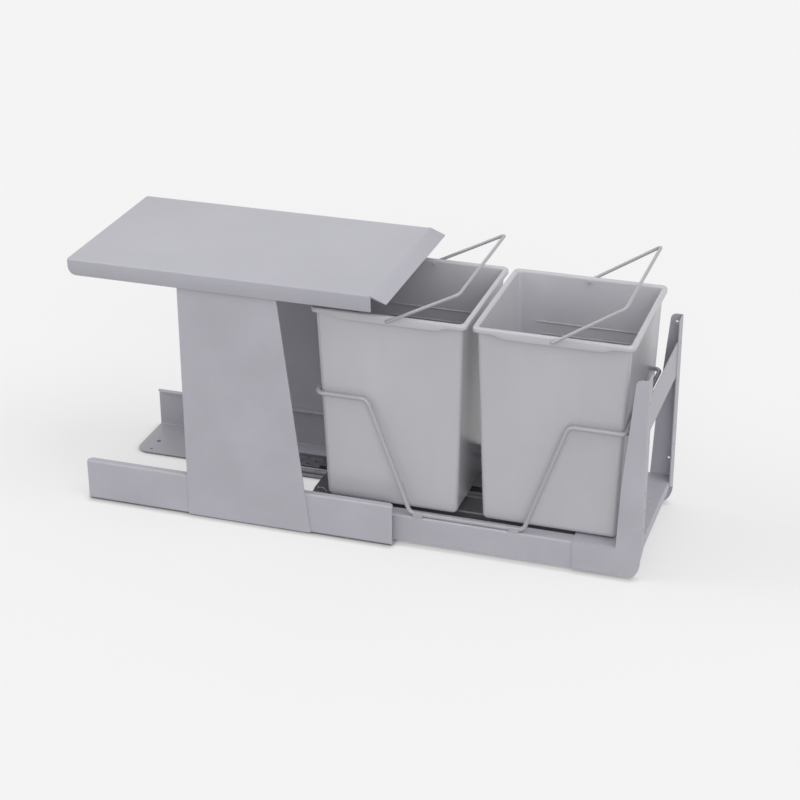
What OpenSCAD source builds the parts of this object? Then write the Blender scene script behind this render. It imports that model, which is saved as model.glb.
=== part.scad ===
/* [Bins] */
// Length of each bin over its rim
bin_len = 215.4; // [180:0.2:240]
// Width of each bin over its rim
bin_w = 218; // [200:0.2:222]
// Height of each bin
bin_h = 288; // [250:0.5:330]
// Wall of the bins
bin_wall = 2.2; // [1.8:0.1:3]
// Step from the rim in to the body just below it
rim_step = 5.5; // [5:0.1:8]
// Height of the rim band at the corners
rim_band_h = 6.5; // [6:0.5:12]
// How much deeper the rim band is beside the handle
rim_drop = 5; // [3:0.5:7]
// Radius of the rim's corners
rim_corner_r = 12.5; // [8:0.5:16]
// Draw of each body wall from rim to floor
bin_draw = 9; // [4:0.5:18]
// Radius of the body's upright edges
bin_corner_r = 7.5; // [6:0.5:12]
// Gap between the two rims
bin_gap = 7; // [3:0.5:20]
// Width of the fill lines inside the bin walls
fill_line_w = 1.2; // [0.8:0.1:3]
// How far the fill lines stand out of the wall
fill_line_out = 0.8; // [0.4:0.1:1.5]
// Depth of the upper fill line below the rim
fill_line_depth = 72; // [50:1:100]
// Distance between the two fill lines
fill_line_pitch = 17.5; // [10:0.5:30]

/* [Bails] */
// Radius of the handle wire
bail_r = 2.25; // [1.5:0.05:2.6]
// Length of the handle arms, pivot to cross wire
bail_arm = 111.7; // [90:0.1:115]
// Radius of the two bends beside the cross wire
bail_bend_r = 8; // [5:0.5:20]
// Gap between a handle arm and the rim
bail_gap = 0.95; // [0.5:0.05:2]
// Depth of the pivots below the rim's top
bail_pivot_depth = 6.5; // [5:0.5:8]
// Running clearance of the handle wire in its holes
bail_fit = 0.05; // [0.02:0.01:0.1]
// Angle at which the rear handle is raised
rear_bail_angle = 27.5; // [0:0.5:60]
// Angle at which the front handle is raised
front_bail_angle = 32.5; // [0:0.5:60]

/* [Slides] */
// How far the carriage is pulled out
travel = 325; // [250:1:325]
// Distance of the fixed channels from the rear end of the base
channel_rear = 90; // [80:1:94]
// Length of the fixed channels
channel_len = 335; // [331:1:337]
// Width of the fixed channels
channel_w = 46; // [44:0.5:48]
// Height of the fixed channels
channel_h = 9.5; // [9.2:0.1:10]
// How much higher the middle members stand
middle_rise = 1; // [0.6:0.1:1.4]
// How much higher than those the inner bars stand
bar_rise = 2.4; // [2:0.1:4]
// Sheet of the slides
slide_sheet = 1.4; // [1.2:0.1:1.5]
// Width of the lips along the tops of the channels and middle members
slide_lip_w = 2.6; // [2.5:0.1:2.9]
// Width of the ball tracks
track_w = 3.2; // [3:0.1:3.5]
// Clearance round each ball
ball_clear = 0.3; // [0.3:0.05:0.5]
// Length of the ball cages
cage_len = 130; // [110:1:140]
// Sheet of the ball cages
cage_sheet = 0.6; // [0.5:0.1:0.7]
// Balls in each row of a cage
ball_count = 8; // [4:1:8]

/* [Base] */
// Height of the base rails
rail_h = 60; // [50:0.5:70]
// Sheet of the base, the lid and the carriage
steel = 1.5; // [1.2:0.1:2]
// Inside radius of the folded edges
fold_r = 1; // [0.5:0.1:1.5]
// Width of the inward lip along the top of the base rails
rail_lip_w = 10; // [6:0.5:14]
// Width of the flanges that lie on the cabinet floor
floor_flange_w = 96; // [92:0.5:98]
// Radius of the floor flanges' inner corners
flange_corner_r = 19; // [8:0.5:20]
// Radius of the floor screw holes
screw_hole_r = 3; // [2:0.1:4]
// Radius of the locating holes beside the screw holes
pilot_hole_r = 2; // [1:0.1:2.5]
// Distance of the holes from each end of the rails
hole_from_end = 22; // [16:0.5:40]
// Distance of the screw holes from the inner edges of the floor flanges
screw_hole_inset = 37; // [34:1:40]
// Distance of the locating holes from those edges
pilot_hole_inset = 10; // [8:1:13]

/* [Lid] */
// Height of the lid's underside above the rims
lid_clear = 34.7; // [30:0.1:60]
// Height of the lid's side flanges
lid_flange_h = 23; // [15:0.5:32]
// Gap between the lid's flanges and the side panels
lid_gap = 2.6; // [0.5:0.1:5]
// How far the lid reaches behind the base
lid_rear_reach = 3; // [0:0.5:10]
// Distance of the lid's front bend behind the front of the base
lid_bend_setback = 25.5; // [22:0.5:60]
// Length of the sloping front lip, seen from above
lip_run = 22; // [10:0.5:23]
// Drop of the front lip
lip_drop = 9; // [4:0.5:10]
// Radius of the flanges' rear corners
lid_corner_r = 12; // [6:0.5:14]
// Distance of the side panels from the rear end of the base
panel_rear = 155; // [80:1:200]
// Length of the side panels under the lid
panel_top_len = 140; // [100:1:150]
// Length of the side panels at the floor
panel_foot_len = 182.5; // [155:0.5:200]
// Width of the side panels' folded top edges
panel_flange_w = 14; // [8:0.5:24]

/* [Carriage] */
// Gap from the rear end of the carriage to the first rim
bin_rear_gap = 11.1; // [6:0.1:20]
// Gap from the last rim to the front of the door brackets
bin_front_gap = 21.6; // [14:0.1:30]
// Gap from the rims out to the carriage rails
bin_side_gap = 3.2; // [3:0.1:8]
// How far the closed carriage stands in front of the base
front_reach = 16; // [8:0.5:22]
// Height of the carriage rails
carriage_rail_h = 39.3; // [38:0.1:44]
// Width of the carriage rails' top flanges
carriage_flange_w = 20.2; // [14:0.2:26]
// Width of the strips that the bins stand on
strip_w = 43; // [41:0.5:44]
// Depth of the strips' inner sides
strip_inner_h = 24; // [12:0.5:26]
// Width of the strips' lower flanges, which lie on the slides
strip_foot_w = 27; // [20:0.5:31]
// Length of the rear cross plate
rear_plate_len = 24; // [24:0.5:28]
// Length of the front cross plate
front_plate_len = 93; // [60:1:120]
// Depth of the front cross plate's folded edge
front_plate_fold = 10; // [5:0.5:20]

/* [Door brackets] */
// Distance of the bracket tops below the rims
bracket_drop = 41.8; // [30:0.1:80]
// Width of the bracket at its top
bracket_top_w = 17; // [14:0.5:24]
// Width of the bracket at half height
bracket_mid_w = 29.5; // [25:0.5:32]
// Width of the bracket at its foot
bracket_foot_w = 33.5; // [32:0.5:44]
// Height at which the bracket's rear edge changes slope
bracket_mid_h = 135; // [110:1:160]
// Length of the bracket's lower leg
bracket_leg_len = 92; // [60:1:120]
// Radius of the bracket's upper corner
bracket_corner_r = 8; // [4:0.5:12]
// Width of the folded flange that the door is screwed to
door_flange_w = 24; // [18:0.5:30]
// Slope of the door flange's upper end
door_flange_drop = 1; // [0.5:0.5:20]
// How much higher its lower end is at the free edge
door_flange_rise = 12; // [4:0.5:20]
// Height of the rounding at the bracket's lower front corner
bracket_round_h = 22.5; // [14:0.5:30]
// Length of that rounding
bracket_round_len = 9; // [4:0.5:12]
// Radius of the holes in the brackets
door_hole_r = 2.6; // [1.5:0.1:3.5]
// Height of the three lower holes in each door flange
door_hole_low_z = [70, 98, 124];
// Distance of the upper hole below the top of the cross bar
door_hole_top_gap = 5; // [5:0.5:20]
// Radius of the two holes in the right bracket's side
side_hole_r = 1.6; // [1:0.1:3]
// Height of the lower one
side_hole_low_z = 71; // [60:1:90]
// Distance of the upper one below the bracket's top
side_hole_top_gap = 11; // [9:0.5:20]
// Distance of the side holes behind the bracket's front
side_hole_back = 8; // [6:0.5:10]
// Height of the bar between the brackets
cross_bar_h = 51; // [30:1:70]
// Distance of that bar below the bracket tops
cross_bar_drop = 33; // [20:1:60]

/* [Guard wire] */
// Radius of the guard wire
guard_r = 3; // [2:0.1:3.5]
// Height of the guard wire round the bins
guard_h = 208; // [150:1:250]
// Distance of the wire's centre from the carriage's sides
guard_side_gap = 5.2; // [4.6:0.1:6.6]
// Distance of its rear run from the rear end of the carriage
guard_rear_gap = 17; // [16:0.5:18]
// Distance of its front run behind the front of the brackets
guard_front_gap = 26; // [24:0.5:27]
// Length of its upper run at the rear
guard_rear_len = 72; // [50:1:90]
// Length of its upper run at the front
guard_front_len = 78; // [60:1:100]
// Length of its rear slope, seen from the side
guard_rear_slope = 61; // [40:1:80]
// Length of its front slope, seen from the side
guard_front_slope = 57; // [40:1:80]
// Radius of its bends
guard_bend_r = 11; // [8:0.5:16]
// Length of the tabs that hold it on the carriage rails
tab_len = 14; // [8:0.5:20]
// Height of those tabs
tab_h = 5; // [3:0.5:8]
// Distance of the tabs from the foot of each slope
tab_inset = 5; // [0:0.5:20]
// Radius of the hook wire on the rear cross plate
hook_r = 1.1; // [1:0.1:1.5]
// Length of the hook
hook_len = 13; // [11:0.5:13.5]
// Height of the hook
hook_h = 6.5; // [5:0.5:12]
// Length of its sloping front leg, seen from the side
hook_slope = 5; // [2:0.5:6]
// Distance of the hook from the carriage's side
hook_side_gap = 28.7; // [28:0.1:30]
// Distance of the hook from the rear edge of its plate
hook_rear_gap = 8; // [6:0.5:8]

/* [Hidden] */
$fn = 48;

coat = [0.73, 0.73, 0.78];
lid_coat = [0.80, 0.80, 0.85];
zinc = [0.68, 0.69, 0.70];
plastic = [0.81, 0.80, 0.79];
wire_coat = [0.76, 0.76, 0.79];
rubber = [0.15, 0.15, 0.16];

// Overrun of every cut
cut = 1;
// Clearance of the carriage over the floor flanges and beside the base rails
floor_clear = 1;
side_clear = 1.3;
// Distance from the rear end of the base to the closed carriage
rear_clear = 1.5;
// Distance of the fixed channels from the inner edges of the floor flanges
channel_inset = 6;
// Clearance above and below the ball cages' floors
cage_clear = 0.4;
// Distance of the closed bars from the ends of the channels, and of the middle members' rear ends
bar_setback = 3;
middle_setback = 49.5;
// Length of the strips behind the front of the brackets
strip_front_gap = 36;
// Clearance of the guard wire and the hook on the sheet below them
wire_seat = 0.05;
// How much thicker a wire is in its bends, and how far its straights run into them
bend_swell = 0.02;
bend_overlap = 0.1;
// Chamfer at the ends of the base rails' top lips
lip_chamfer = 5;
// Slot in the front cross plate
slit_len = 12;
slit_w = 1.6;
slit_side = 25;
slit_front = 18;
// Slope at both ends of the deeper part of the rim band, and its share of the bin's length
drop_slope = 18;
drop_length_share = 0.6;
fill_line_share = 0.68;
fill_line_taper = 8;
// Reach of the handle's hooked ends inside the bin wall, and the bend of the hooks
hook_end_reach = 3;
hook_bend_r = 3;
// Length of the outer cages behind the middle members, distance of the inner cages from the bars'
// rear ends, and bare length at both ends of a cage
cage_tail = 18;
cage_start = 12;
cage_end_gap = 2;
// Windows in the floors of the cages
window_w = 22;
window_share = 0.6;
// Radius of the bends of the hook on the rear cross plate
wire_hook_bend_r = 2.2;
// Length of the end stops, and their distance from the channels' rear ends
stop_len = 1.2;
stop_inset = 0.1;

carriage_x = bin_w / 2 + bin_side_gap;
bracket_x = carriage_x + steel;
base_x = bracket_x + side_clear + rail_lip_w;
panel_x = base_x + steel;
lid_x = panel_x + lid_gap + steel;

carriage_len = bin_rear_gap + 2 * bin_len + bin_gap + bin_front_gap;
base_len = carriage_len + rear_clear - front_reach;
carriage_rear = rear_clear + travel;
carriage_front = carriage_rear + carriage_len;

channel_x = base_x - floor_flange_w + channel_inset;
channel_top = steel + channel_h;
middle_x = channel_x + slide_sheet + track_w;
middle_w = channel_w - 2 * (slide_sheet + track_w);
bar_x = middle_x + slide_sheet + track_w;
bar_w = middle_w - 2 * (slide_sheet + track_w);
slide_mid_x = channel_x + channel_w / 2;

outer_cage_z = steel + slide_sheet + cage_clear;
middle_bottom = outer_cage_z + cage_sheet + cage_clear;
inner_cage_z = middle_bottom + slide_sheet + cage_clear;
bar_bottom = inner_cage_z + cage_sheet + cage_clear;
middle_top = channel_top + middle_rise;
bar_top = middle_top + bar_rise;

bar_rear = channel_rear + bar_setback + travel;
middle_rear = channel_rear + middle_setback + travel / 2;
outer_cage_rear = middle_rear - cage_tail;
inner_cage_rear = bar_rear + cage_start;
ball_r = track_w / 2 - ball_clear;
ball_pitch = (cage_len - cage_tail - 2 * cage_end_gap) / ball_count;

carriage_bottom = steel + floor_clear;
carriage_top = carriage_bottom + carriage_rail_h;
plate_top = carriage_top + steel;
bin_floor = plate_top + steel;
bin_top = bin_floor + bin_h;
lid_under = bin_top + lid_clear;
lid_top = lid_under + steel;
strip_x = channel_x + (channel_w - strip_w) / 2;
screw_hole_x = base_x - floor_flange_w + screw_hole_inset;
pilot_hole_x = base_x - floor_flange_w + pilot_hole_inset;

bracket_top = bin_top - bracket_drop;
flange_hole_x = bracket_x - door_flange_w / 2;
door_hole_z = concat(door_hole_low_z, [bracket_top - cross_bar_drop - door_hole_top_gap]);
side_hole_z = [side_hole_low_z, bracket_top - side_hole_top_gap];
bail_x = bin_w / 2 + bail_gap + bail_r;
bail_z = bin_top - bail_pivot_depth;
guard_x = carriage_x - guard_side_gap;
guard_rear = carriage_rear + guard_rear_gap;
guard_front = carriage_front - guard_front_gap;
guard_foot_rear = guard_rear + guard_rear_len + guard_rear_slope;
guard_foot_front = guard_front - guard_front_len - guard_front_slope;
guard_foot_z = carriage_top + guard_r + wire_seat;
rear_bin_start = carriage_rear + bin_rear_gap;
front_bin_start = rear_bin_start + bin_len + bin_gap;

function unit(v) = v / norm(v);
function bend_angle(u, w) = acos(max(-1, min(1, u * w)));

// Lengths along the object are measured forwards from the rear end of the base; the front is -Y
module placed() {
    translate([0, base_len / 2, 0]) mirror([0, 1, 0]) children();
}

module left_side() {
    mirror([1, 0, 0]) children();
}

// A cross-section seen from the front, drawn out from rear to front
module drawn(rear, front) {
    translate([0, front, 0]) rotate([90, 0, 0]) linear_extrude(front - rear) children();
}

// An outline seen from the side, cut from sheet that reaches outwards from x
module sheet_side(x, t) {
    translate([x, 0, 0]) rotate([90, 0, 90]) linear_extrude(t) children();
}

// One fold of a strip, about the origin
module fold(turn, t, r) {
    start = turn > 0 ? -90 : 90;
    reach = 2 * (r + t);
    intersection() {
        difference() {
            circle(r + t);
            circle(r);
        }
        polygon([[0, 0], for (share = [0, 0.5, 1])
            reach * [cos(start + turn * share), sin(start + turn * share)]]);
    }
}

// Cross-section of folded sheet on the left of its path; a negative turn folds it to the right
module strip(runs, turns, t, r, i = 0) {
    if (runs[i] > 0) square([runs[i], t]);
    if (i < len(turns)) {
        centre = turns[i] > 0 ? t + r : -r;
        translate([runs[i], centre]) {
            fold(turns[i], t, r);
            rotate(turns[i]) translate([0, -centre]) strip(runs, turns, t, r, i + 1);
        }
    }
}

module round_rect(w, h, r) {
    translate([-w / 2 + r, -h / 2]) square([w - 2 * r, h]);
    translate([-w / 2, -h / 2 + r]) square([w, h - 2 * r]);
    for (sx = [-1, 1], sy = [-1, 1])
        translate([sx * (w / 2 - r), sy * (h / 2 - r)]) circle(r);
}

// What rounding takes off a square corner at the origin
module corner_waste(r) {
    difference() {
        translate([-cut, -cut]) square(r + cut);
        translate([r, r]) circle(r);
    }
}

module rod(a, b, r) {
    v = b - a;
    translate(a) rotate([0, acos(v.z / norm(v)), atan2(v.y, v.x)]) cylinder(h = norm(v), r = r);
}

// Bend of a wire at p, from direction u to direction w
module elbow(p, u, w, bend, r) {
    turn = bend_angle(u, w);
    inward = unit(w - (w * u) * u);
    c = p - u * bend * tan(turn / 2) + inward * bend;
    z = cross(u, inward);
    multmatrix([[-inward.x, u.x, z.x, c.x], [-inward.y, u.y, z.y, c.y], [-inward.z, u.z, z.z, c.z]])
        rotate_extrude(angle = turn) translate([bend, 0]) circle(r + bend_swell);
}

// A round wire through points; bends holds the radius at each point, zero at an open end
module wire(points, bends, r, closed = false) {
    n = len(points);
    last = closed ? n - 1 : n - 2;
    function dir(i) = unit(points[(i + 1) % n] - points[(i + n) % n]);
    function start_of(i) = bends[i % n] == 0 ? 0 :
        bends[i % n] * tan(bend_angle(dir((i + n - 1) % n), dir(i % n)) / 2) - bend_overlap;
    for (i = [0 : last])
        rod(points[i] + dir(i) * start_of(i), points[(i + 1) % n] - dir(i) * start_of(i + 1), r);
    for (i = [0 : n - 1])
        if (bends[i] > 0) elbow(points[i], dir((i + n - 1) % n), dir(i), bends[i], r);
}

// Base

module base_rail() {
    k = steel + fold_r;
    color(coat) placed() difference() {
        drawn(0, base_len) translate([base_x - rail_lip_w, rail_h - steel])
            strip([rail_lip_w - k, rail_h - 2 * k, floor_flange_w - k], [-90, -90], steel, fold_r);
        translate([base_x - floor_flange_w, 0, -cut]) linear_extrude(steel + 2 * cut) {
            corner_waste(flange_corner_r);
            translate([0, base_len]) mirror([0, 1]) corner_waste(flange_corner_r);
        }
        for (f = [0, base_len]) translate([base_x - rail_lip_w, f, rail_h - steel - cut])
            rotate(45) translate([-lip_chamfer, -lip_chamfer] / sqrt(2))
                cube([lip_chamfer * sqrt(2), lip_chamfer * sqrt(2), steel + 2 * cut]);
        for (f = [hole_from_end, base_len - hole_from_end]) {
            translate([screw_hole_x, f, -cut]) cylinder(h = steel + 2 * cut, r = screw_hole_r);
            translate([pilot_hole_x, f, -cut]) cylinder(h = steel + 2 * cut, r = pilot_hole_r);
        }
    }
}

module side_panel() {
    k = steel + fold_r;
    color(coat) placed() {
        sheet_side(base_x, steel) polygon([
            [panel_rear, 0], [panel_rear + panel_foot_len, 0],
            [panel_rear + panel_top_len, lid_under - k], [panel_rear, lid_under - k]]);
        drawn(panel_rear, panel_rear + panel_top_len)
            translate([panel_x - panel_flange_w, lid_under - steel])
                strip([panel_flange_w - k, 0], [-90], steel, fold_r);
    }
}

module lid() {
    k = steel + fold_r;
    bend_at = base_len - lid_bend_setback;
    slope = atan2(lip_drop, lip_run);
    lip_len = norm([lip_drop, lip_run]);
    color(lid_coat) placed() difference() {
        union() {
            drawn(-lid_rear_reach, bend_at) translate([-lid_x + steel, lid_top - lid_flange_h])
                rotate(90) strip([lid_flange_h - k, 2 * (lid_x - k), lid_flange_h - k],
                    [-90, -90], steel, fold_r);
            translate([-lid_x, bend_at, lid_top]) rotate([-slope, 0, 0])
                translate([0, 0, -steel]) cube([2 * lid_x, lip_len, steel]);
        }
        translate([-lid_x - cut, -lid_rear_reach, lid_top - lid_flange_h])
            rotate([90, 0, 90]) linear_extrude(2 * (lid_x + cut)) corner_waste(lid_corner_r);
    }
}

// Slides

// Section of a trough with lips turned inwards along its top
module trough(x, z, w, h) {
    k = slide_sheet + fold_r;
    translate([x + slide_lip_w, z + h]) rotate(180)
        strip([slide_lip_w - k, h - 2 * k, w - 2 * k, h - 2 * k, slide_lip_w - k],
            [90, 90, 90, 90], slide_sheet, fold_r);
}

module slide_channel() {
    color(zinc) placed() drawn(channel_rear, channel_rear + channel_len)
        trough(channel_x, steel, channel_w, channel_h);
}

module slide_middle() {
    color(zinc) placed() drawn(middle_rear, middle_rear + channel_len - middle_setback - bar_setback)
        trough(middle_x, middle_bottom, middle_w, middle_top - middle_bottom);
}

module slide_bar() {
    k = slide_sheet + fold_r;
    color(zinc) placed() drawn(bar_rear, bar_rear + channel_len - 2 * bar_setback)
        translate([bar_x + bar_w, bar_bottom]) rotate(90)
            strip([bar_top - bar_bottom - k, bar_w - 2 * k, bar_top - bar_bottom - k], [90, 90],
                slide_sheet, fold_r);
}

module slide_end_stops() {
    color(rubber) placed() for (side = [-1, 1])
        translate([side * slide_mid_x - bar_w / 2, channel_rear + stop_inset, steel + slide_sheet])
            cube([bar_w, stop_len, channel_h - slide_sheet]);
}

// Places of the balls beside a member: two rows, half way up the space for them
function ball_places(x, w, low, high, rear) = [for (side = [-1, 1], i = [0 : ball_count - 1])
    [x + w / 2 + side * (w + track_w) / 2, rear + cage_tail + cage_end_gap + (i + 0.5) * ball_pitch,
        (low + high) / 2]];
function outer_balls() =
    ball_places(middle_x, middle_w, outer_cage_z + cage_sheet, channel_top - slide_sheet, outer_cage_rear);
function inner_balls() =
    ball_places(bar_x, bar_w, inner_cage_z + cage_sheet, middle_top - slide_sheet, inner_cage_rear);

module balls(places) {
    color(zinc) placed() for (p = places) translate(p) sphere(ball_r);
}

// Folded strip round a member's underside, with legs that hold the balls beside it
module ball_cage(x, w, low, rear, places) {
    leg_x = x - track_w / 2;
    leg_top = places[0].z + ball_r + cage_clear;
    color(zinc) placed() difference() {
        translate([leg_x - cage_sheet / 2, rear, low])
            cube([w + track_w + cage_sheet, cage_len, leg_top - low]);
        translate([leg_x + cage_sheet / 2, rear - cut, low + cage_sheet])
            cube([w + track_w - cage_sheet, cage_len + 2 * cut, leg_top]);
        for (p = places) translate(p - [track_w / 2, 0, 0]) rotate([0, 90, 0])
            cylinder(h = track_w, r = ball_r + ball_clear);
        for (i = [-1 : ball_count - 1])
            translate([x + (w - window_w) / 2, places[0].y + i * ball_pitch - ball_pitch * window_share / 2,
                low - cut])
                cube([window_w, ball_pitch * window_share, cage_sheet + 2 * cut]);
    }
}

// Carriage

module carriage_rail() {
    k = steel + fold_r;
    color(coat) placed() drawn(carriage_rear, carriage_front - bracket_round_len)
        translate([carriage_x - carriage_flange_w, carriage_top - steel])
            strip([carriage_flange_w - k, carriage_top - carriage_bottom - k], [-90], steel, fold_r);
}

module bracket_outline() {
    leg = carriage_front - bracket_leg_len;
    mid = carriage_front - bracket_mid_w;
    top = carriage_front - bracket_top_w;
    round_r = (bracket_round_h ^ 2 + bracket_round_len ^ 2) / (2 * bracket_round_len);
    difference() {
        polygon([
            [leg, carriage_bottom], [leg, carriage_top], [carriage_front - bracket_foot_w, carriage_top],
            [mid, bracket_mid_h], [top, bracket_top - bracket_corner_r], [top, bracket_top],
            [carriage_front, bracket_top], [carriage_front, carriage_bottom]]);
        translate([top, bracket_top]) mirror([0, 1]) corner_waste(bracket_corner_r);
        translate([carriage_front - round_r, carriage_bottom + bracket_round_h]) difference() {
            translate([0, -bracket_round_h - cut]) square([round_r + cut, bracket_round_h + cut]);
            circle(round_r, $fn = 96);
        }
    }
}

module door_bracket(side_holes = []) {
    flange_low = carriage_bottom + bracket_round_h;
    color(coat) placed() {
        difference() {
            sheet_side(carriage_x, steel) bracket_outline();
            for (z = side_holes) translate([carriage_x - cut, carriage_front - side_hole_back, z])
                rotate([0, 90, 0]) cylinder(h = steel + 2 * cut, r = side_hole_r);
        }
        difference() {
            translate([0, carriage_front, 0]) rotate([90, 0, 0]) linear_extrude(steel)
                polygon([
                    [bracket_x, flange_low], [bracket_x, bracket_top],
                    [bracket_x - door_flange_w, bracket_top - door_flange_drop],
                    [bracket_x - door_flange_w, flange_low + door_flange_rise]]);
            for (z = door_hole_z) translate([flange_hole_x, carriage_front + cut, z])
                rotate([90, 0, 0]) cylinder(h = steel + 2 * cut, r = door_hole_r);
        }
    }
}

module front_cross_bar() {
    low = bracket_top - cross_bar_drop - cross_bar_h;
    color(coat) placed() difference() {
        translate([-carriage_x, carriage_front - 2 * steel, low])
            cube([2 * carriage_x, steel, cross_bar_h]);
        for (side = [-1, 1], z = door_hole_z)
            translate([side * flange_hole_x, carriage_front - steel + cut, z])
                rotate([90, 0, 0]) cylinder(h = steel + 2 * cut, r = door_hole_r);
    }
}

// The sides are slotted for the cross plates, which lie under the strips
module floor_strip() {
    k = steel + fold_r;
    color(zinc) placed() difference() {
        drawn(carriage_rear, carriage_front - strip_front_gap)
            translate([strip_x + strip_w - strip_foot_w, bar_top])
                strip([strip_foot_w - k, bin_floor - bar_top - 2 * k, strip_w - 2 * k,
                    strip_inner_h - k], [90, 90, 90], steel, fold_r);
        for (f = [carriage_rear - cut, carriage_front - front_plate_len])
            translate([strip_x - cut, f, carriage_top])
                cube([strip_w + 2 * cut, f < carriage_rear ? rear_plate_len + cut : front_plate_len,
                    steel]);
    }
}

module rear_cross_plate() {
    color(zinc) placed() translate([-carriage_x, carriage_rear, carriage_top])
        cube([2 * carriage_x, rear_plate_len, steel]);
}

module front_cross_plate() {
    k = steel + fold_r;
    color(coat) placed() difference() {
        translate([-carriage_x, 0, 0]) sheet_side(0, 2 * carriage_x)
            translate([carriage_front - front_plate_len, carriage_top])
                strip([front_plate_len - steel - k, front_plate_fold - k], [-90], steel, fold_r);
        translate([slit_side, carriage_front - slit_front, carriage_top - cut])
            cube([slit_len, slit_w, steel + 2 * cut]);
    }
}

module bin_guard_wire() {
    side = [
        [guard_rear, guard_h], [guard_rear + guard_rear_len, guard_h], [guard_foot_rear, guard_foot_z],
        [guard_foot_front, guard_foot_z], [guard_front - guard_front_len, guard_h],
        [guard_front, guard_h]];
    count = len(side);
    points = [
        for (p = side) [guard_x, p.x, p.y],
        for (i = [count - 1 : -1 : 0]) [-guard_x, side[i].x, side[i].y]];
    color(wire_coat) placed() wire(points, [for (p = points) guard_bend_r], guard_r, true);
}

module guard_wire_tabs() {
    tab_x = guard_x + guard_r;
    color(coat) placed()
        for (side = [-1, 1], f = [guard_foot_rear + tab_inset, guard_foot_front - tab_inset - tab_len])
            translate([side * (tab_x + carriage_x) / 2 - (carriage_x - tab_x) / 2, f, carriage_top])
                cube([carriage_x - tab_x, tab_len, tab_h]);
}

module rear_wire_hook() {
    start = carriage_rear + hook_rear_gap;
    front = start + hook_len;
    foot = hook_r * sin(atan(hook_slope / hook_h)) + wire_seat;
    side = [
        [start, 0], [start, hook_h], [front - hook_slope, hook_h],
        [front - hook_slope * foot / hook_h, foot]];
    color(zinc) placed()
        wire([for (p = side) [hook_side_gap - carriage_x, p.x, plate_top + p.y]],
            [0, wire_hook_bend_r, wire_hook_bend_r, 0], hook_r);
}

// Bins

function body_half(z, across) = across / 2 - rim_step - bin_draw * (bin_h - z) / bin_h;

// Body of a bin, or its inside when it is drawn in by the wall
module bin_shape(inset, low, high) {
    hull() for (z = [low, high], sx = [-1, 1], sy = [-1, 1])
        translate([
            sx * (body_half(z, bin_w) - bin_corner_r), sy * (body_half(z, bin_len) - bin_corner_r),
            z == low ? low : high - steel])
            cylinder(h = steel, r = bin_corner_r - inset, $fn = 32);
}

module rim_skirt() {
    drop_len = bin_len * drop_length_share;
    difference() {
        union() {
            linear_extrude(rim_band_h) round_rect(bin_w, bin_len, rim_corner_r);
            translate([-bin_w / 2, 0, 0]) rotate([90, 0, 90]) linear_extrude(bin_w) polygon([
                [-drop_len / 2 - drop_slope, 0], [-drop_len / 2, -rim_drop],
                [drop_len / 2, -rim_drop], [drop_len / 2 + drop_slope, 0]]);
        }
        translate([0, 0, -rim_drop - cut]) linear_extrude(rim_band_h + rim_drop - bin_wall + cut)
            round_rect(bin_w - 2 * bin_wall, bin_len - 2 * bin_wall, rim_corner_r - bin_wall);
    }
}

module bin_tub() {
    difference() {
        union() {
            bin_shape(0, 0, bin_h);
            translate([0, 0, bin_h - rim_band_h]) rim_skirt();
        }
        bin_shape(bin_wall, bin_wall, bin_h + cut);
        translate([-bin_w / 2 - cut, 0, bin_h - bail_pivot_depth]) rotate([0, 90, 0])
            cylinder(h = bin_w + 2 * cut, r = bail_r + bail_fit);
    }
    for (side = [-1, 1], line = [0, 1]) {
        depth = fill_line_depth + line * fill_line_pitch;
        x = body_half(bin_h - depth, bin_w) - bin_wall;
        line_len = bin_len * fill_line_share - line * 2 * fill_line_taper;
        translate([side * (x + (bin_wall / 2 - fill_line_out) / 2) - (bin_wall / 2 + fill_line_out) / 2,
            -line_len / 2, bin_h - depth - fill_line_w])
            cube([bin_wall / 2 + fill_line_out, line_len, fill_line_w]);
    }
}

module placed_bin(start) {
    color(plastic) placed() translate([0, start + bin_len / 2, bin_floor]) bin_tub();
}

module bail(start, angle) {
    reach = body_half(bin_h - bail_pivot_depth, bin_w) - bin_wall - hook_end_reach;
    color(wire_coat) placed() translate([0, start + bin_len / 2, bail_z]) rotate([angle, 0, 0]) wire([
        [reach, 0, 0], [bail_x, 0, 0], [bail_x, bail_arm, 0],
        [-bail_x, bail_arm, 0], [-bail_x, 0, 0], [-reach, 0, 0]],
        [0, hook_bend_r, bail_bend_r, bail_bend_r, hook_bend_r, 0], bail_r);
}

left_side() base_rail();  // left_base_rail
base_rail();  // right_base_rail
left_side() side_panel();  // left_side_panel
side_panel();  // right_side_panel
lid();
left_side() slide_channel();  // left_slide_channel
slide_channel();  // right_slide_channel
slide_end_stops();
left_side() slide_middle();  // left_slide_middle
slide_middle();  // right_slide_middle
left_side() slide_bar();  // left_slide_bar
slide_bar();  // right_slide_bar
left_side() ball_cage(middle_x, middle_w, outer_cage_z, outer_cage_rear, outer_balls());  // left_outer_cage
ball_cage(middle_x, middle_w, outer_cage_z, outer_cage_rear, outer_balls());  // right_outer_cage
left_side() balls(outer_balls());  // left_outer_balls
balls(outer_balls());  // right_outer_balls
left_side() ball_cage(bar_x, bar_w, inner_cage_z, inner_cage_rear, inner_balls());  // left_inner_cage
ball_cage(bar_x, bar_w, inner_cage_z, inner_cage_rear, inner_balls());  // right_inner_cage
left_side() balls(inner_balls());  // left_inner_balls
balls(inner_balls());  // right_inner_balls
left_side() carriage_rail();  // left_carriage_rail
carriage_rail();  // right_carriage_rail
left_side() door_bracket();  // left_door_bracket
door_bracket(side_hole_z);  // right_door_bracket
front_cross_bar();
left_side() floor_strip();  // left_floor_strip
floor_strip();  // right_floor_strip
rear_cross_plate();
front_cross_plate();
bin_guard_wire();
guard_wire_tabs();
rear_wire_hook();
placed_bin(rear_bin_start);  // rear_bin
placed_bin(front_bin_start);  // front_bin
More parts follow.
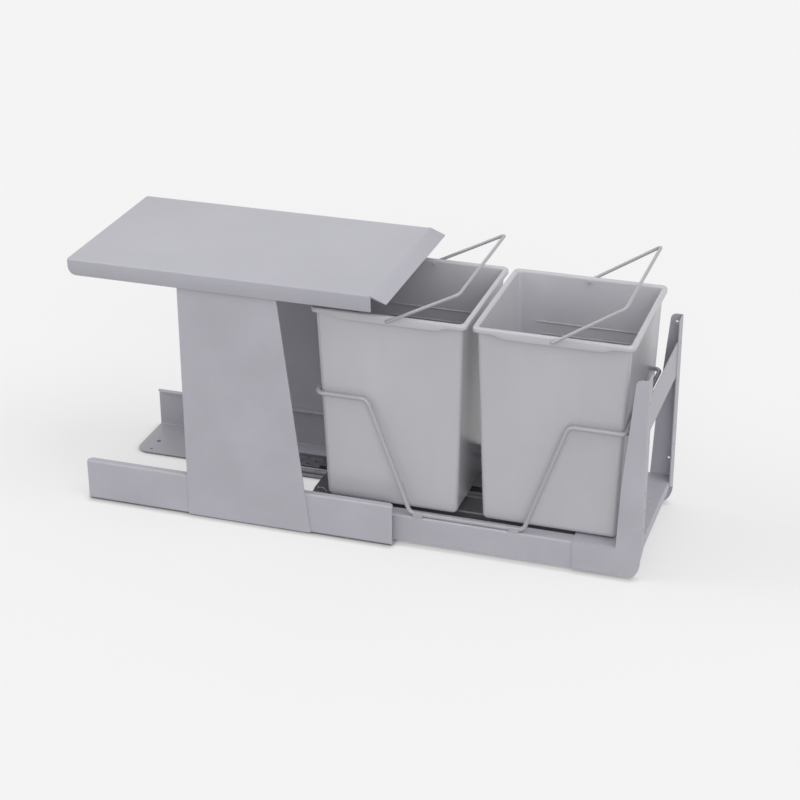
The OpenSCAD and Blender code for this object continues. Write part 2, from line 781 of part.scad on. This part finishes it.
bail(rear_bin_start, rear_bail_angle);  // rear_bail
bail(front_bin_start, front_bail_angle);  // front_bail
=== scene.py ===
import math

import bmesh
import bpy
from mathutils import Matrix, Quaternion, Vector


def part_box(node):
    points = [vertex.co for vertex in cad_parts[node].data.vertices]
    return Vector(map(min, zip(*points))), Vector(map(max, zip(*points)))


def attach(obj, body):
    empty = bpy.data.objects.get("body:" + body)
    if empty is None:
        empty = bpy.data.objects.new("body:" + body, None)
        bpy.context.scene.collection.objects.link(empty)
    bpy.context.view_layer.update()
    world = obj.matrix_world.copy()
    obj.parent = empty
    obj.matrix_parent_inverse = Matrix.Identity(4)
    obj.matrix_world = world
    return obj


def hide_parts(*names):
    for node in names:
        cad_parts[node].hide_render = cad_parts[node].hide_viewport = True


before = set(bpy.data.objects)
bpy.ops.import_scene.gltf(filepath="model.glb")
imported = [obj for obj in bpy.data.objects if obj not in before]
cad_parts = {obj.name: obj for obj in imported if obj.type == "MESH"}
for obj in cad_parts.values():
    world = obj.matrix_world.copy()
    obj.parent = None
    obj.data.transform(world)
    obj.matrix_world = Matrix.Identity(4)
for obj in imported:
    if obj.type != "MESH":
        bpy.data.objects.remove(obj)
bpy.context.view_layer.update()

print("frame loaded with", len(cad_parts), "nodes")


# One socket of a material, with Python's operators for the Math nodes
class Signal:
    def __init__(self, tree, socket=None):
        self.tree = tree
        self.socket = socket

    def node(self, kind, settings=None, inputs=None, output=0):
        made = self.tree.nodes.new(kind)
        for name, value in (settings or {}).items():
            setattr(made, name, value)
        for name, value in (inputs or {}).items():
            if isinstance(value, Signal):
                self.tree.links.new(value.socket, made.inputs[name])
            else:
                made.inputs[name].default_value = value
        return Signal(self.tree, made.outputs[output] if made.outputs else None)

    def math(self, operation, *values):
        pairs = dict(enumerate(values or (self,)))
        return self.node("ShaderNodeMath", {"operation": operation}, pairs)

    def __add__(self, other):
        return self.math("ADD", self, other)

    def __sub__(self, other):
        return self.math("SUBTRACT", self, other)

    def __rsub__(self, other):
        return self.math("SUBTRACT", other, self)

    def __mul__(self, other):
        return self.math("MULTIPLY", self, other)

    def __truediv__(self, other):
        return self.math("DIVIDE", self, other)

    def __pow__(self, other):
        return self.math("POWER", self, other)

    __radd__ = __add__
    __rmul__ = __mul__

    def clamped(self):
        return self.node("ShaderNodeClamp", inputs={"Value": self})

    # 0 at low, 1 at high, level beyond them
    def above(self, low, high):
        return ((self - low) / (high - low)).clamped()

    # The first colour where this is 0, the second where it is 1
    def blend(self, first, second):
        return self.node("ShaderNodeMix", {"data_type": "RGBA"},
                         {"Factor": self, 6: first, 7: second}, output=2)

    # One of the three coordinates of a place
    def along(self, axis):
        return self.node("ShaderNodeSeparateXYZ", inputs={"Vector": self}, output="XYZ".index(axis))


def newMaterial(name):
    material = bpy.data.materials.new(name)
    material.use_nodes = True
    material.node_tree.nodes.clear()
    start = Signal(material.node_tree)
    place = start.node("ShaderNodeTexCoord", output="Object")
    return material, place


def noise(place, scale, detail=2.0, rough=0.5, stretch=(1, 1, 1)):
    spot = place.node("ShaderNodeMapping", inputs={"Vector": place, "Scale": stretch})
    return place.node("ShaderNodeTexNoise", inputs={
        "Vector": spot, "Scale": scale, "Detail": detail, "Roughness": rough})


def surface(place, **inputs):
    shader = place.node("ShaderNodeBsdfPrincipled",
                        inputs={name.replace("_", " "): value for name, value in inputs.items()})
    place.node("ShaderNodeOutputMaterial", inputs={"Surface": shader})


def bump(place, height, strength, distance):
    return place.node("ShaderNodeBump",
                      inputs={"Height": height, "Strength": strength, "Distance": distance})


def solid(tone):
    return (*tone, 1)


def grey(level):
    return (level, level, level, 1)


# Powder coat: a fine orange peel, faint clouds of tone and a few paler specks
coatLook = {
    "tone": (0.405, 0.398, 0.442), "cloud": 0.06, "roughness": 0.42, "shine": 0.45,
    "clouds": {"scale": 9, "detail": 3, "rough": 0.6}, "cloudFade": (0.3, 0.7), "cloudGloss": 0.1,
    "specks": {"scale": 420}, "speckFade": (0.66, 0.74), "speckTone": 1.3, "speckShare": 0.25,
    "smears": {"scale": 160}, "smearGloss": 0.08, "glossShift": 0.09,
    "peel": {"scale": 650, "rough": 0.45}, "peelStrength": 0.5, "peelDepth": 0.00005}
lidLook = {**coatLook, "tone": (0.392, 0.388, 0.432), "cloud": 0.04, "roughness": 0.38, "peelDepth": 0.00004}
wireLook = {**coatLook, "tone": (0.37, 0.365, 0.39), "cloud": 0.04, "roughness": 0.38,
            "peel": {"scale": 900, "rough": 0.45}, "peelDepth": 0.00003}


def powderCoat(name, look):
    material, place = newMaterial(name)
    clouds = noise(place, **look["clouds"])
    tone = Vector(look["tone"])
    pale, deep = tone * (1 + look["cloud"]), tone * (1 - look["cloud"])
    colour = clouds.above(*look["cloudFade"]).blend(solid(deep), solid(pale))
    specks = noise(place, **look["specks"]).above(*look["speckFade"])
    colour = (specks * look["speckShare"]).blend(colour, solid(tone * look["speckTone"]))
    smears = noise(place, **look["smears"])
    roughness = (clouds * look["cloudGloss"] + smears * look["smearGloss"] + look["roughness"]
                 - look["glossShift"])
    grain = bump(place, noise(place, **look["peel"]), look["peelStrength"], look["peelDepth"])
    surface(place, Base_Color=colour, Roughness=roughness, Normal=grain, Specular_IOR_Level=look["shine"])
    return material


# Zinc plating: drawn along the slides, with dull clouds. The greased slide parts have spots of grease, a
# black band of painted shade in the hollow of the inner track and a painted highlight along the top edge.
zincLook = {
    "tone": (0.33, 0.33, 0.36), "metal": 0.75, "roughness": 0.34,
    "drawn": {"scale": 500, "rough": 0.6, "stretch": (1, 0.02, 1)}, "drawnFade": (0.4, 0.65),
    "drawnTone": 1.25, "drawnShare": 0.25, "drawnGloss": 0.14, "drawnStrength": 0.3, "drawnDepth": 0.00004,
    "clouds": {"scale": 30, "detail": 3, "rough": 0.6}, "cloudFade": (0.3, 0.7), "cloudDeep": 0.88,
    "cloudPale": 1.1, "cloudGloss": 0.1, "glossShift": 0.12,
    "grease": {"scale": 130, "detail": 3, "rough": 0.7, "stretch": (1, 0.5, 1)}, "greaseFade": (0.57, 0.66),
    "patches": {"scale": 14, "stretch": (0.4, 1, 0.4)}, "patchFade": (0.45, 0.6),
    "greaseTone": (0.1, 0.1, 0.11), "greaseShare": 0.7, "greaseGloss": 0.12,
    # The track band is painted shade in the channel's hollow; the edge tone is a painted highlight on the top
    # edge
    "trackMiddle": 0.058, "trackStart": 0.0035, "trackEnd": 0.018, "trackEdge": 0.001,
    "trackShadeTone": (0.02, 0.02, 0.022), "trackShadeShare": 0.9,
    "edgeHighlightTone": (0.85, 0.85, 0.88), "edgeHighlightShare": 0.85, "edgeFade": 0.001, "edgeInset": 0.0004,
    "edgeTop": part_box("left_slide_channel")[1][2]}
middleLook = {**zincLook, "tone": (0.3, 0.3, 0.33), "trackStart": 0.001,
              "edgeTop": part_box("left_slide_middle")[1][2]}
cageLook = {**zincLook, "tone": (0.22, 0.22, 0.24), "metal": 0.6, "roughness": 0.4, "trackStart": -0.002}
# Floor strips and rear cross plate: their darker tone is painted shade, for the shadow under and between the
# bins
shadedStripLook = {**zincLook, "tone": (0.15, 0.15, 0.165), "metal": 0.6, "roughness": 0.42,
             "drawn": {"scale": 400, "rough": 0.6, "stretch": (1, 0.02, 1)}}


def addGreaseAndPaintedLight(place, look, colour):
    grease = noise(place, **look["grease"]).above(*look["greaseFade"])
    grease = grease * noise(place, **look["patches"]).above(*look["patchFade"])
    colour = (grease * look["greaseShare"]).blend(colour, solid(look["greaseTone"]))
    # Black band along the inner track: painted shade, where the channel's hollow lies in shadow
    inside = look["trackMiddle"] - place.along("X").math("ABSOLUTE")
    trackShade = inside.above(look["trackStart"] - look["trackEdge"], look["trackStart"])
    trackShade = trackShade * (1 - inside.above(look["trackEnd"], look["trackEnd"] + look["trackEdge"]))
    colour = (trackShade * look["trackShadeShare"]).blend(colour, solid(look["trackShadeTone"]))
    # Pale band along the top edge: a painted highlight where light catches the lip
    height = look["edgeTop"] - look["edgeInset"]
    edgeHighlight = place.along("Z").above(height - look["edgeFade"], height)
    colour = (edgeHighlight * look["edgeHighlightShare"]).blend(colour, solid(look["edgeHighlightTone"]))
    return grease, colour


def zincPlate(name, look, greaseAndPaintedLight=False):
    material, place = newMaterial(name)
    drawn = noise(place, **look["drawn"])
    clouds = noise(place, **look["clouds"])
    tone = Vector(look["tone"])
    colour = clouds.above(*look["cloudFade"]).blend(solid(tone * look["cloudDeep"]),
                                                    solid(tone * look["cloudPale"]))
    colour = (drawn.above(*look["drawnFade"]) * look["drawnShare"]).blend(
        colour, solid(tone * look["drawnTone"]))
    roughness = (look["roughness"] + drawn * look["drawnGloss"] + clouds * look["cloudGloss"]
                 - look["glossShift"])
    if greaseAndPaintedLight:
        grease, colour = addGreaseAndPaintedLight(place, look, colour)
        roughness = roughness - grease * look["greaseGloss"]
    scratches = bump(place, drawn, look["drawnStrength"], look["drawnDepth"])
    surface(place, Base_Color=colour, Roughness=roughness, Normal=scratches, Metallic=look["metal"])
    return material


# Moulded plastic: a fine grain with faint upright flow marks and a few scuffs
plasticLook = {
    "tone": (0.475, 0.468, 0.499), "roughness": 0.22, "shine": 0.5,
    "clouds": {"scale": 7, "detail": 3}, "cloudFade": (0.3, 0.7), "cloud": 0.03,
    "flow": {"scale": 22, "detail": 3, "rough": 0.55, "stretch": (1, 1, 0.12)}, "flowFade": (0.42, 0.62),
    "flowTone": 1.09, "flowShare": 0.22, "flowGloss": 0.08,
    "scuffs": {"scale": 90, "detail": 4, "rough": 0.7, "stretch": (1, 1, 0.35)}, "scuffFade": (0.63, 0.72),
    "scuffTone": 0.8, "scuffShare": 0.14, "scuffGloss": 0.06, "glossShift": 0.03,
    "grain": {"scale": 1400}, "grainStrength": 0.4, "grainDepth": 0.00003}


def mouldedPlastic(name, look):
    material, place = newMaterial(name)
    flow = noise(place, **look["flow"])
    clouds = noise(place, **look["clouds"])
    tone = Vector(look["tone"])
    colour = clouds.above(*look["cloudFade"]).blend(solid(tone * (1 - look["cloud"])),
                                                    solid(tone * (1 + look["cloud"])))
    colour = (flow.above(*look["flowFade"]) * look["flowShare"]).blend(colour, solid(tone * look["flowTone"]))
    scuffs = noise(place, **look["scuffs"]).above(*look["scuffFade"])
    colour = (scuffs * look["scuffShare"]).blend(colour, solid(tone * look["scuffTone"]))
    roughness = (look["roughness"] + flow * look["flowGloss"] - scuffs * look["scuffGloss"]
                 - look["glossShift"])
    grain = bump(place, noise(place, **look["grain"]), look["grainStrength"], look["grainDepth"])
    surface(place, Base_Color=colour, Roughness=roughness, Normal=grain, Specular_IOR_Level=look["shine"])
    return material


rubberLook = {"deep": (0.012, 0.012, 0.013), "pale": (0.03, 0.03, 0.032), "roughness": 0.6, "cloudGloss": 0.2,
              "clouds": {"scale": 120, "detail": 3, "rough": 0.6},
              "grain": {"scale": 1500}, "grainStrength": 0.4, "grainDepth": 0.00004}


def softRubber(name, look):
    material, place = newMaterial(name)
    clouds = noise(place, **look["clouds"])
    grain = bump(place, noise(place, **look["grain"]), look["grainStrength"], look["grainDepth"])
    surface(place, Base_Color=clouds.blend(solid(look["deep"]), solid(look["pale"])),
            Roughness=clouds * look["cloudGloss"] + look["roughness"], Normal=grain)
    return material


ballLook = {"deep": (0.5, 0.5, 0.52), "pale": (0.62, 0.62, 0.64), "roughness": 0.1, "cloudGloss": 0.15,
            "clouds": {"scale": 400}}


def polishedBall(name, look):
    material, place = newMaterial(name)
    clouds = noise(place, **look["clouds"])
    surface(place, Base_Color=clouds.blend(solid(look["deep"]), solid(look["pale"])),
            Roughness=clouds * look["cloudGloss"] + look["roughness"], Metallic=1.0)
    return material


coat = powderCoat("frameCoat", coatLook)
lidCoat = powderCoat("lidCoat", lidLook)
wireCoat = powderCoat("wireCoat", wireLook)
channelZinc = zincPlate("channelZinc", zincLook, greaseAndPaintedLight=True)
barZinc = zincPlate("barZinc", zincLook)
# Darker zinc for the floor strips and the rear cross plate: painted shade
shadedStripZinc = zincPlate("shadedStripZinc", shadedStripLook)
middleZinc = zincPlate("middleZinc", middleLook, greaseAndPaintedLight=True)
cageSteel = zincPlate("cageSteel", cageLook, greaseAndPaintedLight=True)
binPlastic = mouldedPlastic("binPlastic", plasticLook)
padRubber = softRubber("padRubber", rubberLook)
ballSteel = polishedBall("ballSteel", ballLook)
print("materials made")

# Finish of the nodes whose names hold these words; the longest word that fits counts
finishes = {
    "base_rail": coat, "side_panel": coat, "carriage_rail": coat, "door_bracket": coat, "cross_bar": coat,
    "front_cross_plate": coat, "rear_cross_plate": shadedStripZinc, "floor_strip": shadedStripZinc, "lid": lidCoat,
    "slide_channel": channelZinc, "slide_middle": middleZinc, "slide_bar": barZinc, "wire_hook": barZinc,
    "_cage": cageSteel, "_balls": ballSteel, "end_stops": padRubber, "bin": binPlastic,
    "guard_wire": wireCoat, "wire_tabs": wireCoat, "bail": wireCoat}

for name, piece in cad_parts.items():
    word = max((part for part in finishes if part in name), key=len)
    piece.data.materials.clear()
    piece.data.materials.append(finishes[word])
print("CAD nodes dressed")

# How finely the new pieces are rounded, and what counts as a sharp edge
meshLook = {"smoothAngle": 35, "edgeAngle": 50, "edgeSegments": 2, "seatSlack": 1e-5}


def addPiece(name, data):
    piece = bpy.data.objects.new(name, data)
    bpy.context.collection.objects.link(piece)
    return piece


def toMesh(mesh, name):
    data = bpy.data.meshes.new(name)
    mesh.to_mesh(data)
    mesh.free()
    return data


def smooth(data):
    data.shade_smooth()
    data.set_sharp_from_angle(angle=math.radians(meshLook["smoothAngle"]))


def finishPiece(mesh, name, body, replaced, material):
    data = toMesh(mesh, name)
    piece = addPiece(name, data)
    data.materials.append(material)
    smooth(data)
    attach(piece, body)
    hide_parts(replaced)
    return piece


def addModifier(piece, kind, **values):
    modifier = piece.modifiers.new(kind.lower(), kind)
    for name, value in values.items():
        setattr(modifier, name, value)


# Keeps what the modifiers made and takes them off the piece
def keepShape(piece):
    seen = piece.evaluated_get(bpy.context.evaluated_depsgraph_get())
    made = bpy.data.meshes.new_from_object(seen)
    piece.modifiers.clear()
    piece.data = made


def thicken(piece, sheet, edgeRadius):
    addModifier(piece, "SOLIDIFY", thickness=sheet, offset=-1, use_even_offset=True)
    addModifier(piece, "BEVEL", width=edgeRadius, segments=meshLook["edgeSegments"], limit_method="ANGLE",
                angle_limit=math.radians(meshLook["edgeAngle"]))
    keepShape(piece)


def roundEdges(mesh, edges, offset, segments):
    bmesh.ops.bevel(mesh, geom=edges, offset=offset, offset_type="OFFSET", affect="EDGES",
                    segments=segments, profile=0.5, material=-1)


# Pulls new faces out of the edges and gives back the new points and edges
def pullOut(mesh, edges):
    made = bmesh.ops.extrude_edge_only(mesh, edges=edges)["geom"]
    return ([part for part in made if isinstance(part, bmesh.types.BMVert)],
            [part for part in made if isinstance(part, bmesh.types.BMEdge)])


# Edges that lie wholly at one place along an axis (0, 1 or 2)
def edgesAt(mesh, axis, place):
    return [edge for edge in mesh.edges
            if all(abs(vert.co[axis] - place) < meshLook["seatSlack"] for vert in edge.verts)]


# Turns the sheet's faces so that this one looks up (1) or down (-1)
def turnFaces(mesh, face, upward):
    bmesh.ops.recalc_face_normals(mesh, faces=mesh.faces[:])
    if face.normal.z * upward < 0:
        bmesh.ops.reverse_faces(mesh, faces=mesh.faces[:])


def heightOf(face):
    return face.calc_center_median().z


# Bins: one sheet bent over at the rim, thickened, with holes for the bail and fill lines inside
binShape = {
    "wall": 0.0022, "draw": 0.009, "cornerRadius": 0.0075, "cornerSegments": 10,
    "footRadius": 0.0085, "footSegments": 6, "edgeRadius": 0.0006,
    "rimStep": 0.0055, "rimRadius": 0.0006, "rimSegments": 3, "mouthRadius": 0.0013, "mouthSegments": 4,
    "bandHeight": 0.0065, "bandDrop": 0.005, "dropShare": 0.6, "dropSlope": 0.018, "dropSteps": 6,
    "holeRadius": 0.0023, "holeDepth": 0.0065, "holeSides": 24, "drillReach": 1.1,
    "lineDepth": 0.072, "linePitch": 0.0175, "lineWidth": 0.0022, "lineOut": 0.0012, "lineShare": 0.68,
    "lineTaper": 0.008, "lineRound": 0.3, "lineSegments": 2}


# Bends the mouth of the tub out and down into the rim
def bendRim(tub, shape, centre):
    mouth = [edge for edge in tub.edges if edge.is_boundary]
    edge, rim = pullOut(tub, mouth)
    reach = shape["rimStep"] - shape["wall"]
    for vert in edge:
        vert.co.x += math.copysign(reach, vert.co.x - centre.x)
        vert.co.y += math.copysign(reach, vert.co.y - centre.y)
    skirt, _ = pullOut(tub, rim)
    bmesh.ops.translate(tub, verts=skirt, vec=(0, 0, shape["wall"] - shape["bandHeight"]))
    roundEdges(tub, rim, shape["rimRadius"], shape["rimSegments"])
    roundEdges(tub, mouth, shape["mouthRadius"], shape["mouthSegments"])


# The rim band hangs lower along the middle of both sides
def lowerBand(tub, shape, centre, half, top):
    flat, slope, steps = shape["dropShare"] * half.y, shape["dropSlope"], shape["dropSteps"]
    for side in (-1, 1):
        for step in range(steps + 1):
            cut = centre.y + side * (flat + slope * step / steps)
            bmesh.ops.bisect_plane(tub, geom=tub.verts[:] + tub.edges[:] + tub.faces[:],
                                   plane_co=(0, cut, 0), plane_no=(0, 1, 0))
    for vert in tub.verts:
        if abs(vert.co.z - (top - shape["bandHeight"])) < meshLook["seatSlack"]:
            past = min(max((abs(vert.co.y - centre.y) - flat) / slope, 0), 1)
            vert.co.z -= shape["bandDrop"] * (1 + math.cos(math.pi * past)) / 2


# Two level ridges inside each side wall, the lower one shorter
def addFillLines(tub, shape, centre, half, top):
    for side in (-1, 1):
        for line in (0, 1):
            down = shape["lineDepth"] + line * shape["linePitch"]
            wall = half.x - shape["rimStep"] - shape["draw"] * down / (2 * half.z) - shape["wall"]
            length = 2 * (half.y * shape["lineShare"] - line * shape["lineTaper"])
            spot = Matrix.Translation((side * wall, centre.y, top - down)) @ Matrix.Diagonal(
                (shape["lineOut"] * 2, length, shape["lineWidth"], 1))
            ridge = bmesh.ops.create_cube(tub, size=1, matrix=spot)["verts"]
            edges = dict.fromkeys(edge for vert in ridge for edge in vert.link_edges)
            roundEdges(tub, list(edges), shape["lineWidth"] * shape["lineRound"], shape["lineSegments"])


# One drill through both side walls, where the bail's ends turn
def drillHoles(piece, shape, centre, half, top):
    cutter = bmesh.new()
    spot = Matrix.Translation((0, centre.y, top - shape["holeDepth"])) @ Matrix.Rotation(math.pi / 2, 4, "Y")
    bmesh.ops.create_cone(cutter, cap_ends=True, segments=shape["holeSides"], radius1=shape["holeRadius"],
                          radius2=shape["holeRadius"], depth=2 * half.x * shape["drillReach"], matrix=spot)
    drill = addPiece("drill", toMesh(cutter, "drill"))
    addModifier(piece, "BOOLEAN", operation="DIFFERENCE", object=drill, solver="EXACT")
    keepShape(piece)
    bpy.data.meshes.remove(drill.data)


def makeBin(name, body, shape):
    low, high = (Vector(corner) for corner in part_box(name))
    centre, half = (low + high) / 2, (high - low) / 2
    tub = bmesh.new()
    bmesh.ops.create_cube(tub, size=2)
    for vert in tub.verts:
        below = vert.co.z < 0
        inset = shape["rimStep"] + (shape["draw"] if below else 0)
        vert.co = Vector((vert.co.x * (half.x - inset), centre.y + vert.co.y * (half.y - inset),
                          low.z if below else high.z - shape["wall"]))
    upright = [edge for edge in tub.edges if len({vert.co.z < centre.z for vert in edge.verts}) == 2]
    roundEdges(tub, upright, shape["cornerRadius"], shape["cornerSegments"])
    roundEdges(tub, edgesAt(tub, 2, low.z), shape["footRadius"], shape["footSegments"])
    bmesh.ops.delete(tub, geom=[max(tub.faces, key=heightOf)], context="FACES_ONLY")
    bendRim(tub, shape, centre)
    lowerBand(tub, shape, centre, half, high.z)
    turnFaces(tub, min(tub.faces, key=heightOf), -1)
    piece = finishPiece(tub, name + "Shell", body, name, binPlastic)
    thicken(piece, shape["wall"], shape["edgeRadius"])
    drillHoles(piece, shape, centre, half, high.z)
    lines = bmesh.new()
    lines.from_mesh(piece.data)
    addFillLines(lines, shape, centre, half, high.z)
    lines.to_mesh(piece.data)
    lines.free()
    smooth(piece.data)


for binName in ("rear_bin", "front_bin"):
    makeBin(binName, binName + "_body", binShape)
print("bins made")

# Lid: folded sheet with a soft crease before its front lip
lidShape = {"sheet": 0.0015, "edgeRadius": 0.0003, "flange": 0.023, "foldRadius": 0.0025, "foldSegments": 5,
            "cornerRadius": 0.012, "cornerSegments": 6, "lipRun": 0.022, "lipDrop": 0.009,
            "creaseRadius": 0.003, "creaseSegments": 6, "rearInset": 0.0001, "longEdge": 0.1}


def makeLid(name, body, shape):
    low, high = (Vector(corner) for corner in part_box(name))
    front, rear = low.y + shape["lipRun"], high.y - shape["rearInset"]
    plate = bmesh.new()
    bmesh.ops.create_grid(plate, x_segments=1, y_segments=1, size=1)
    for vert in plate.verts:
        vert.co = Vector((high.x if vert.co.x > 0 else low.x, rear if vert.co.y > 0 else front, high.z))
    sides = edgesAt(plate, 0, low.x) + edgesAt(plate, 0, high.x)
    lead = edgesAt(plate, 1, front)
    hem, _ = pullOut(plate, sides)
    bmesh.ops.translate(plate, verts=hem, vec=(0, 0, -shape["flange"]))
    lip, _ = pullOut(plate, lead)
    bmesh.ops.translate(plate, verts=lip, vec=(0, -shape["lipRun"], -shape["lipDrop"]))
    rearCorners = [vert for vert in hem if vert.co.y > front + shape["longEdge"]]
    bmesh.ops.bevel(plate, geom=rearCorners, offset=shape["cornerRadius"], offset_type="OFFSET",
                    affect="VERTICES", segments=shape["cornerSegments"], profile=0.5, material=-1)
    roundEdges(plate, lead, shape["creaseRadius"], shape["creaseSegments"])
    folds = [edge for edge in plate.edges if len(edge.link_faces) == 2
             and abs(edge.verts[0].co.y - edge.verts[1].co.y) > shape["longEdge"]]
    roundEdges(plate, folds, shape["foldRadius"], shape["foldSegments"])
    turnFaces(plate, max(plate.faces, key=lambda face: face.calc_area()), 1)
    piece = finishPiece(plate, name + "Sheet", body, name, lidCoat)
    thicken(piece, shape["sheet"], shape["edgeRadius"])


makeLid("lid", "base", lidShape)
print("lid made")

# The photograph's view, fitted to the straight edges of the frame
viewLook = {"place": (-2.38138, -0.98018, 1.36666), "azimuth": 0.3168, "elevation": 0.44886,
            "roll": -0.0038, "lens": 89.863, "sensor": 36}


# Points a lamp or the camera along a direction, with a roll about it
def aim(thing, ahead, roll=0):
    thing.rotation_mode = "QUATERNION"
    thing.rotation_quaternion = ahead.to_track_quat("-Z", "Y") @ Quaternion((0, 0, 1), roll)


def setCamera(look):
    turn, tilt = look["azimuth"], look["elevation"]
    data = bpy.data.cameras.new("camera")
    data.lens, data.sensor_width = look["lens"], look["sensor"]
    camera = addPiece("camera", data)
    camera.location = look["place"]
    aim(camera, Vector((math.cos(turn) * math.cos(tilt), math.sin(turn) * math.cos(tilt), -math.sin(tilt))),
        look["roll"])
    bpy.context.scene.camera = camera


setCamera(viewLook)

# A pale floor that keeps the shadow, an even sky and three broad lamps: power, spread and direction
roomLook = {
    "floorTone": 0.4, "floorPatch": 0.004, "patches": {"scale": 1.5}, "floorShown": 0.35, "floorGlow": 0.5,
    "floorRoughness": 0.9, "floorSize": 40, "floorDrop": 0.0015, "contactShadeReach": 0.012, "contactShadeSamples": 8,
    "contactShadePower": 2.0, "sky": 0.63, "skyShown": 0.9,
    "lamps": {"keyLamp": (0.94, 40, (-0.25, -0.9, 1.4)), "fillLamp": (1.18, 50, (-1.0, -0.4, 0.35)),
              "backLamp": (1.0, 40, (-0.2, 1.0, 0.6))}}


# 1 for the rays that show the floor and the sky themselves, 0 for those that light the object
def shownRays(start):
    kinds = ("Is Camera Ray", "Is Glossy Ray", "Is Transmission Ray")
    camera, glossy, through = (start.node("ShaderNodeLightPath", output=kind) for kind in kinds)
    return (camera + glossy + through).clamped()


def addFloor(look):
    material, place = newMaterial("floor")
    patch = noise(place, **look["patches"])
    shown = shownRays(place)
    tone = look["floorTone"]
    colour = patch.blend(grey(tone - look["floorPatch"]), grey(tone + look["floorPatch"]))
    colour = shown.blend(colour, grey(look["floorShown"]))
    # The floor's glow fades close to other things: a painted contact shadow in the floor's shown colour
    contactShade = place.node("ShaderNodeAmbientOcclusion", {"samples": look["contactShadeSamples"]},
                      {"Distance": look["contactShadeReach"]}, output="AO")
    glow = (shown * contactShade ** look["contactShadePower"]).blend(grey(0), grey(look["floorGlow"]))
    surface(place, Base_Color=colour, Roughness=look["floorRoughness"], Specular_IOR_Level=0.0,
            Emission_Color=glow, Emission_Strength=1.0)
    sheet = bmesh.new()
    bmesh.ops.create_grid(sheet, x_segments=2, y_segments=2, size=look["floorSize"] / 2)
    floor = addPiece("floor", toMesh(sheet, "floor"))
    floor.location.z = -look["floorDrop"]
    floor.data.materials.append(material)


def setSky(look):
    world = bpy.data.worlds.new("sky")
    bpy.context.scene.world = world
    world.use_nodes = True
    world.node_tree.nodes.clear()
    start = Signal(world.node_tree)
    strength = shownRays(start) * (look["skyShown"] - look["sky"]) + look["sky"]
    glow = start.node("ShaderNodeBackground", inputs={"Color": grey(1), "Strength": strength})
    start.node("ShaderNodeOutputWorld", inputs={"Surface": glow})


def addLamps(lamps):
    for name, (power, spread, source) in lamps.items():
        data = bpy.data.lights.new(name, "SUN")
        data.energy, data.angle = power, math.radians(spread)
        aim(addPiece(name, data), -Vector(source))


addFloor(roomLook)
setSky(roomLook)
addLamps(roomLook["lamps"])
bpy.context.scene.view_settings.view_transform = "Standard"
print("camera, floor and lamps set")
